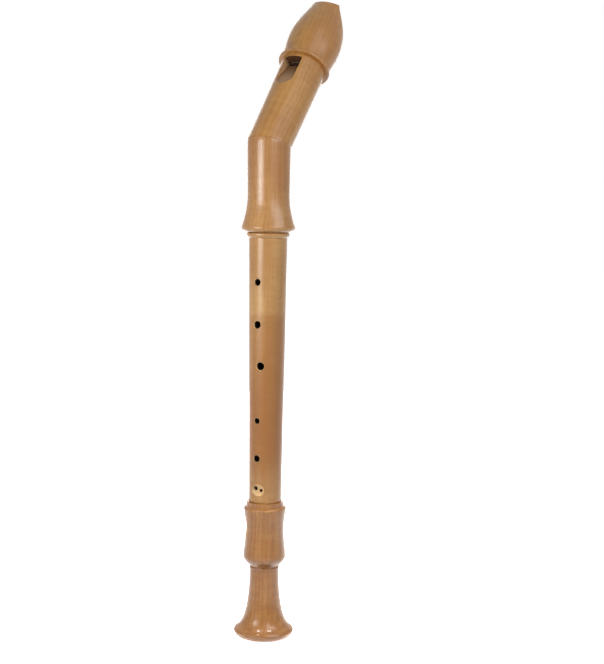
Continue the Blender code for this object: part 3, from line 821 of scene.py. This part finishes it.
def body_template():
    template = Template(BODY_BORE_LOW, TENON_END)
    template.line((LOWER_TENON_RADIUS - TENON_CHAMFER, TENON_END))
    template.line((LOWER_TENON_RADIUS, TENON_END + TENON_CHAMFER))
    tenon(template, LOWER_TENON_RADIUS, TENON_END, BODY_END)
    template.line((LOWER_TENON_RADIUS, BODY_END))
    template.corner(BODY_RADIUS_LOW, BODY_END, (BODY_RADIUS_LOW, COLLAR_LOW))
    for i in range(1, BODY_COURSES + 1):
        height = BODY_END + EDGE + (COLLAR_LOW - BODY_END - EDGE) * i / BODY_COURSES
        template.line((body_radius(height), height))
    template.bend((0.6, 0.4), (0.0, -1.4), (COLLAR_RADIUS, COLLAR_LOW + 3.0), 10)
    template.corner(COLLAR_RADIUS, BODY_TOP, (UPPER_TENON_RADIUS, BODY_TOP), 1.1, 6)
    template.line((UPPER_TENON_RADIUS, BODY_TOP))
    tenon(template, UPPER_TENON_RADIUS, BODY_TOP, TENON_TOP)
    template.line((UPPER_TENON_RADIUS, TENON_TOP - TENON_CHAMFER))
    return template.line((UPPER_TENON_RADIUS - TENON_CHAMFER, TENON_TOP), (BODY_BORE_HIGH, TENON_TOP))


def make_body():
    body = turned("middle", body_template(), body_wood)
    wall = body_radius(RING_FINGER_SCOOP["height"])
    cutters = [scoop_cutter("ring_finger_scoop", wall=wall, **RING_FINGER_SCOOP)]
    for hole in HOLES:
        cutters.append(hole_cutter(*hole, body_radius(hole[1])))
    for hole in RING_FINGER_HOLES:
        cutters.append(hole_cutter(*hole, wall - RING_FINGER_FLOOR, CRISP_RIM))
    carve(body, *cutters)
    finish_edges(body, "body", "middle_joint")


make_body()

# %% [markdown]
# The neck turns the breath round the corner. It isn't bent: it is turned as a straight waisted socket
# and then sawn at half the bend, where the head is glued on. `saw` cuts along the mitre plane, keeps one
# side and closes it. `break_mitre_edge` takes two tenths off the new edge, which catches the light as a
# thin line in the photograph.

# %% The mitre
NECK_TOP_RADIUS = 21.75
HEAD_BORE = 13.4
GLUE_LINE = 0.08
BROKEN_EDGE = 0.2


def mitre_plane(keep_above):
    """A point on the cut and its direction. The two sides stand half a glue line from the true plane."""
    normal = MITRE_FRAME.to_3x3() @ Vector((0, 0, 1))
    return MITRE_FRAME.to_translation() + normal * (GLUE_LINE / 2 * mm * (1 if keep_above else -1)), normal


def saw(piece, keep_above):
    """Cuts the piece at the mitre plane, keeps one side and closes it with a ring of faces."""
    point, normal = mitre_plane(keep_above)
    bm = bmesh.new()
    bm.from_mesh(piece.data)
    bmesh.ops.bisect_plane(
        bm,
        geom=bm.verts[:] + bm.edges[:] + bm.faces[:],
        plane_co=point,
        plane_no=normal,
        clear_inner=keep_above,
        clear_outer=not keep_above,
    )
    bmesh.ops.bridge_loops(bm, edges=[e for e in bm.edges if e.is_boundary])
    bm.to_mesh(piece.data)
    bm.free()


def break_mitre_edge(piece, keep_above):
    """Rounds the outer edge of the sawn face."""
    point, normal = mitre_plane(keep_above)
    middle = (HEAD_BORE + NECK_TOP_RADIUS) / 2 * mm
    bm = bmesh.new()
    bm.from_mesh(piece.data)

    def on_the_rim(vert):
        out = vert.co - point
        return abs(out.dot(normal)) < 0.01 * mm and out.length > middle

    rim = [e for e in bm.edges if all(on_the_rim(v) for v in e.verts)]
    bmesh.ops.bevel(bm, geom=rim, offset=BROKEN_EDGE * mm, segments=3, affect="EDGES", profile=0.5)
    bm.to_mesh(piece.data)
    bm.free()


print(f"the saw leans {MITRE:.0f} degrees at {BEND:.1f} mm")

# %% [markdown]
# The neck's template starts at the seat on the collar, flares out, narrows to a waist and runs on past
# the saw cut. Its inside is a socket for the upper tenon and then the bore.

# %% Neck
NECK_SOCKET = 16.3
NECK_SEAT_RADIUS = 20.75
NECK_FLARE_RADIUS = 26.8
NECK_FLARE = NECK_END + 5.4
NECK_WAIST_RADIUS = 20.95
NECK_WAIST = NECK_END + 38.0


def neck_template():
    past = BEND + NECK_TOP_RADIUS
    socket_end = TENON_TOP + SOCKET_END_GAP
    template = Template(NECK_SEAT_RADIUS, NECK_END)
    template.line((NECK_SEAT_RADIUS + 2.0, NECK_END + 0.5))
    template.bend((2.4, 0.8), (0.1, -2.8), (NECK_FLARE_RADIUS, NECK_FLARE), 10)
    template.bend((-1.2, 5.0), (-0.1, -16.0), (NECK_WAIST_RADIUS, NECK_WAIST), 26)
    template.line((NECK_TOP_RADIUS, BEND), (NECK_TOP_RADIUS, past), (HEAD_BORE, past))
    template.line((HEAD_BORE, socket_end), (NECK_SOCKET, socket_end))
    return template.corner(NECK_SOCKET, NECK_END, (NECK_SEAT_RADIUS, NECK_END))


def make_neck():
    neck = turned("neck", neck_template(), neck_wood)
    saw(neck, keep_above=False)
    break_mitre_edge(neck, keep_above=False)
    finish_edges(neck, "head", "neck_joint")


make_neck()

# %% [markdown]
# The head is where skill shows. The windway is a slot under an arched roof; it ends at the window, and
# across the window the labium's sharp edge splits the breath. Below it the ramp is pared from an arched
# edge into a flat slope that dies out on the round tube. Behind, the underside is cut in a hollow sweep
# and leaves the beak. Each of these is a cutter with its own shape: a bar for the windway, a wedge in
# many thin steps for the ramp, and for the beak a flat outline that is drawn out sideways.

# %% Windway, window and beak
HEAD_LENGTH = 176.8
HEAD_TUBE_RADIUS = 22.95
RING_TOP = 101.8
BULB_RADIUS = 27.8
BEAK_END_RADIUS = 19.6
BEAK_TIP = 11.0
BEAK_SLANT = 3.2
BEAK_LIP_WIDTH = 2.4
BEAK_LIP_HEIGHT = 1.7
BEAK_LIP_PROUD = 0.6
BEAK_START = 32.0
BEAK_OVERRUN = 2.0
WINDWAY_WIDTH = 19.0
WINDWAY_HEIGHT = 1.8
WINDWAY_ARCH = 36.0
WINDOW_TOP = 94.8
WINDOW_FLARE = 1.0
WINDOW_OVERLAP = 0.5
LABIUM = 89.2
LABIUM_RAMP = 32.0
LABIUM_EDGE = HEAD_BORE + 0.5
RAMP_STEPS = 16
RAMP_FLATTENS = 1.4
ARCH_POINTS = 25
OUTSIDE = 35.0


def arch(x, crown, flatness=0.0):
    """Height over the bore's axis of the shallow arch that roof, floor and labium share."""
    drop = WINDWAY_ARCH - math.sqrt(WINDWAY_ARCH**2 - x**2)
    return crown - drop * (1.0 - flatness)


def across(half):
    """Even steps from one side of the windway to the other."""
    return [half * (2.0 * i / (ARCH_POINTS - 1) - 1.0) for i in range(ARCH_POINTS)]


def windway_cutter():
    """A bar with an arched top along the windway, rooted inside the bore."""
    half = WINDWAY_WIDTH / 2
    root = -0.6 * HEAD_BORE
    profile = [(x, -arch(x, HEAD_BORE + WINDWAY_HEIGHT)) for x in across(half)]
    profile += [(half, root), (-half, root)]
    ends = (WINDOW_TOP - WINDOW_OVERLAP, HEAD_LENGTH + BEAK_OVERRUN)
    return solid("windway", [[(x, y, end) for x, y in profile] for end in ends], bore_wood, HEAD_FRAME)


def beak_cutter(name, wood):
    """All that lies behind the beak's hollow underside, from the bulb to the tip."""
    start = (-BULB_RADIUS - 2.0, RING_TOP + BEAK_START)
    tip = (BEAK_END_RADIUS - BEAK_TIP, HEAD_LENGTH)
    lip = (BEAK_END_RADIUS - BEAK_LIP_WIDTH, HEAD_LENGTH - BEAK_SLANT)
    front = (BEAK_END_RADIUS + BEAK_LIP_PROUD, lip[1] - BEAK_LIP_HEIGHT)
    curve = Template(*start).bend((15.9, 6.0), (-5.3, -20.2), tip, 48)
    curve.line(lip).bend((1.8, -0.2), (-0.6, 0.8), front, 12)
    ahead = 60.0
    behind = -90.0
    above = 230.0
    aside = 45.0
    outline = [*curve.points, (ahead, front[1]), (ahead, above), (behind, above), (behind, start[1])]
    rings = [[(side, -out, height) for out, height in outline] for side in (-aside, aside)]
    return solid(name, rings, wood, HEAD_FRAME)


def window_cutter(half, wide):
    """The opening between the labium and the windway, dark below the labium's edge and pared at its sides."""
    root = -0.4 * HEAD_BORE
    mouth = [(-half, root), (half, root), (half, -LABIUM_EDGE)]
    mouth += [(wide, -OUTSIDE), (-wide, -OUTSIDE), (-half, -LABIUM_EDGE)]
    rings = [[(x, y, height) for x, y in mouth] for height in (LABIUM, WINDOW_TOP)]
    return solid("window", rings, bore_wood, HEAD_FRAME, pared_wood, lambda band, side: True)


def ramp_cutter(half, wide):
    """The wedge over the ramp, from the tube's surface down to the labium's edge."""
    rings = []
    for i in range(RAMP_STEPS, -1, -1):
        share = i / RAMP_STEPS
        floor = LABIUM_EDGE + share * (HEAD_TUBE_RADIUS - LABIUM_EDGE)
        height = LABIUM - share * LABIUM_RAMP
        flatness = min(1.0, share * RAMP_FLATTENS)
        ring = [(x, -arch(x, floor, flatness), height) for x in across(half)]
        rings.append([*ring, (wide, -OUTSIDE, height), (-wide, -OUTSIDE, height)])
    floor_faces = ARCH_POINTS - 1
    # The ramp's floor takes the carved wood with its painted shade; its sides are pared.
    return solid("ramp", rings, shaded_ramp_wood, HEAD_FRAME, pared_wood, lambda band, side: side >= floor_faces)


print(f"window {WINDOW_TOP - LABIUM:.1f} mm high, windway {WINDWAY_WIDTH:.1f} by {WINDWAY_HEIGHT:.1f} mm")

# %% [markdown]
# The head's template runs up the tube, round the ring, over the bulb and past the beak's end. The head is
# sawn first and carved after that, and its glue edge is broken last, because a Boolean can fail on the
# narrow faces of a broken edge.

# %% Head
HEAD_MITRE_RADIUS = 21.5
RING_LOW = 98.8
RING_RADIUS = 27.2
RING_ROUND = 1.5
BULB_BASE_RADIUS = 25.2
BULB_WIDEST = RING_TOP + 29.0
BEAK_SHOULDER = HEAD_LENGTH - 5.2
BEAK_END_TAPER = 1.4


def head_template():
    low = -HEAD_TUBE_RADIUS
    past = HEAD_LENGTH + BEAK_OVERRUN
    ring_side = RING_RADIUS - RING_ROUND
    template = Template(HEAD_MITRE_RADIUS, low)
    template.line((HEAD_MITRE_RADIUS, 0.0), (HEAD_TUBE_RADIUS, RING_LOW), (ring_side, RING_LOW))
    template.bend((2.0, 0.0), (2.0, 0.0), (ring_side, RING_TOP), 14)
    template.line((BULB_BASE_RADIUS, RING_TOP))
    template.bend((0.1, 10.0), (0.0, -12.6), (BULB_RADIUS, BULB_WIDEST), 24)
    template.bend((0.0, 12.4), (3.9, -14.1), (BEAK_END_RADIUS, BEAK_SHOULDER), 30)
    return template.line((BEAK_END_RADIUS - BEAK_END_TAPER, past), (HEAD_BORE, past), (HEAD_BORE, low))


def make_head():
    head = turned("head", head_template(), head_wood, HEAD_FRAME)
    saw(head, keep_above=True)
    half = WINDWAY_WIDTH / 2
    wide = half + WINDOW_FLARE * (OUTSIDE - HEAD_BORE) / (HEAD_TUBE_RADIUS - HEAD_BORE)
    window = window_cutter(half, wide)
    ramp = ramp_cutter(half, wide)
    carve(head, beak_cutter("beak", head_wood), windway_cutter(), window, ramp)
    break_mitre_edge(head, keep_above=True)
    finish_edges(head, "head", "head_joint")


make_head()

# %% [markdown]
# The block fills the bore up to the windway's floor and is trimmed to the beak's curve with the head. Its
# cross-section is one line, an arch for the floor and most of a circle below it, so it is built straight
# from that line. The beak's own cutter then trims it, so the two curves can't differ.

# %% Block
BLOCK_CLEARANCE = 0.3
BLOCK_CHAMFER = 0.5
BLOCK_END_SHARE = 0.955
BLOCK_OVERRUN = 0.4


def make_block():
    radius = HEAD_BORE - BLOCK_CLEARANCE
    half = WINDWAY_WIDTH / 2 - BLOCK_CLEARANCE
    side = math.asin(half / radius)
    outline = [(x, -arch(x, HEAD_BORE)) for x in across(half)]
    turns = [side + (2 * math.pi - 2 * side) * i / TURNING_STEPS for i in range(TURNING_STEPS + 1)]
    outline += [(radius * math.sin(turn), -radius * math.cos(turn)) for turn in turns]
    chamfered = WINDOW_TOP + BLOCK_CHAMFER
    ends = ((BLOCK_END_SHARE, WINDOW_TOP), (1.0, chamfered), (1.0, HEAD_LENGTH + BLOCK_OVERRUN))
    rings = [[(x * share, y * share, end) for x, y in outline] for share, end in ends]
    block_cedar = cedar("block_cedar", HEAD_FRAME, WINDOW_TOP)
    block = solid("cedar_block", rings, block_cedar, HEAD_FRAME)
    carve(block, beak_cutter("block_beak", block_cedar))
    finish_edges(block, "block", "block")


make_block()

# %% [markdown]
# The cork sleeves are thin and hidden while the instrument is together. A finer surface wouldn't show,
# so the measured model's own shapes stay and take the cork finish.

# %% Cork sleeves
for name in ("upper_tenon_cork", "lower_tenon_cork"):
    sleeve = frame["nodes"][name]
    sleeve.data.materials.clear()
    sleeve.data.materials.append(sleeve_cork)
    print(f"{name}: {len(sleeve.data.polygons)} faces in {sleeve_cork.name}")

# %% [markdown]
# The picture is shown as the numbers say, with no film look on top. A polished tube shows its lights as
# stripes, so they are placed by their reflections: the angle of a stripe on the tube doubles to the angle
# of its lamp. The left softbox is wide and near and draws the pale stripe down the body tube. The right
# one is narrow, brighter and higher, and lights the head's side. A large one hangs over the right,
# another stands behind, and two small narrow lamps glint on the bell.

# %% Light
bpy.context.scene.view_settings.view_transform = "Standard"
WHITE = (1.0, 1.0, 1.0)
WARM_WHITE = (1.0, 0.985, 0.96)
COOL_WHITE = (0.98, 0.97, 1.0)


def softbox(name, turn, distance, low, high, width, radiance, aim, spread=180, colour=WHITE):
    """An upright area light, turned in degrees to the camera's right and aimed at a height on the bore."""
    height = high - low
    data = bpy.data.lights.new(name, "AREA")
    data.shape = "RECTANGLE"
    data.size = width
    data.size_y = height
    data.energy = radiance * math.pi * width * height
    data.spread = math.radians(spread)
    data.color = colour
    lamp = link(name, data)
    lamp.visible_camera = False
    angle = CAMERA_ROUND + math.radians(turn)
    place = Vector((math.sin(angle) * distance, -math.cos(angle) * distance, (low + high) / 2))
    lamp.location = place
    lamp.rotation_euler = (Vector((0, 0, aim)) - place).to_track_quat("-Z", "Z").to_euler()
    print(f"{name}: {data.energy:.2f} W at {turn} degrees")


# Distances, heights and widths are in metres.
left = {"turn": -46, "distance": 0.8, "low": 0.31, "high": 0.58, "width": 0.42, "radiance": 2.1}
right = {"turn": 43, "distance": 0.9, "low": 0.3, "high": 1.3, "width": 0.36, "radiance": 4.6}
top = {"turn": 38, "distance": 1.0, "low": 1.3, "high": 1.9, "width": 0.9, "radiance": 2.0}
back = {"turn": 180, "distance": 1.5, "low": 0.1, "high": 1.3, "width": 1.2, "radiance": 2.4}
bell = {"distance": 0.6, "low": 1.1, "high": 1.2, "width": 0.05, "aim": 0.02, "spread": 12}
softbox("left_strip", **left, aim=0.35, spread=66, colour=WARM_WHITE)
softbox("right_strip", **right, aim=0.8, colour=COOL_WHITE)
softbox("top_softbox", **top, aim=0.5)
softbox("back_softbox", **back, aim=0.35)
softbox("left_bell_lamp", turn=-34, radiance=1.2, **bell)
softbox("right_bell_lamp", turn=42, radiance=1.0, **bell)

# %% [markdown]
# Round the object lies a world that is dim where it lights the wood and white where the camera or a
# reflection looks at it. Brighter lamps would whiten the background too, but they would bleach the wood.

# %% World
AMBIENT = 0.1


def pale_world():
    world = bpy.data.worlds.new("studio")
    bpy.context.scene.world = world
    world.use_nodes = True
    nodes = Nodes(world.node_tree)
    rays = nodes.node("ShaderNodeLightPath")
    seen = rays["Is Camera Ray"].either(rays["Is Glossy Ray"]).either(rays["Is Transmission Ray"])
    shine = {"Color": (1.0, 1.0, 1.0, 1.0), "Strength": seen * (1.0 - AMBIENT) + AMBIENT}
    background = nodes.node("ShaderNodeBackground", {}, shine)["Background"]
    nodes.node("ShaderNodeOutputWorld", {}, {"Surface": background})
    print(f"{world.name}: strength {AMBIENT} on the wood, 1 in the picture")


pale_world()

# %% [markdown]
# The floor is pale and plain and has to end in the white background, yet keep the object's shadow. So
# where the camera or a reflection sees it, most of its white shines by itself, near the object a third
# short of white. The lamps' light on it, counted threefold, fills that third everywhere but in the
# shadow. For the light that it throws back on the wood it is a plain matt grey.

# %% Floor
FLOOR_SIZE = 12.0
FLOOR_DROP = 0.05 * mm
FLOOR_NEAR = 0.66
FLOOR_FADE = (0.25, 1.4)
SHADOW_DEPTH = 3.0
MATT = 0.6


def grey(level):
    return (level, level, level, 1.0)


def floor_finish():
    finish = Finish("pale_floor")
    rays = finish.node("ShaderNodeLightPath")
    seen = rays["Is Camera Ray"].either(rays["Is Glossy Ray"])
    place = finish.node("ShaderNodeTexCoord")["Object"]
    reach = finish.node("ShaderNodeVectorMath", {"operation": "LENGTH"}, {0: place})["Value"]
    white = reach.step(*FLOOR_FADE) * (1 - FLOOR_NEAR) + FLOOR_NEAR
    matt = finish.node("ShaderNodeBsdfDiffuse", {}, {"Color": grey(MATT)})["BSDF"]
    shadow = finish.node("ShaderNodeBsdfDiffuse", {}, {"Color": grey(SHADOW_DEPTH)})["BSDF"]
    glow = finish.node("ShaderNodeEmission", {}, {"Color": grey(1.0), "Strength": white})["Emission"]
    bright = finish.node("ShaderNodeAddShader", {}, {0: shadow, 1: glow})["Shader"]
    return finish.surface(finish.node("ShaderNodeMixShader", {}, {0: seen, 1: matt, 2: bright})["Shader"])


def make_floor():
    bm = bmesh.new()
    bmesh.ops.create_grid(bm, x_segments=1, y_segments=1, size=FLOOR_SIZE / 2)
    bmesh.ops.translate(bm, verts=bm.verts, vec=(0, 0, -FLOOR_DROP))
    mesh = bpy.data.meshes.new("floor")
    bm.to_mesh(mesh)
    bm.free()
    mesh.materials.append(floor_finish())
    floor = link("floor", mesh)
    print(f"{floor.name}: {FLOOR_SIZE:.0f} m square")


make_floor()
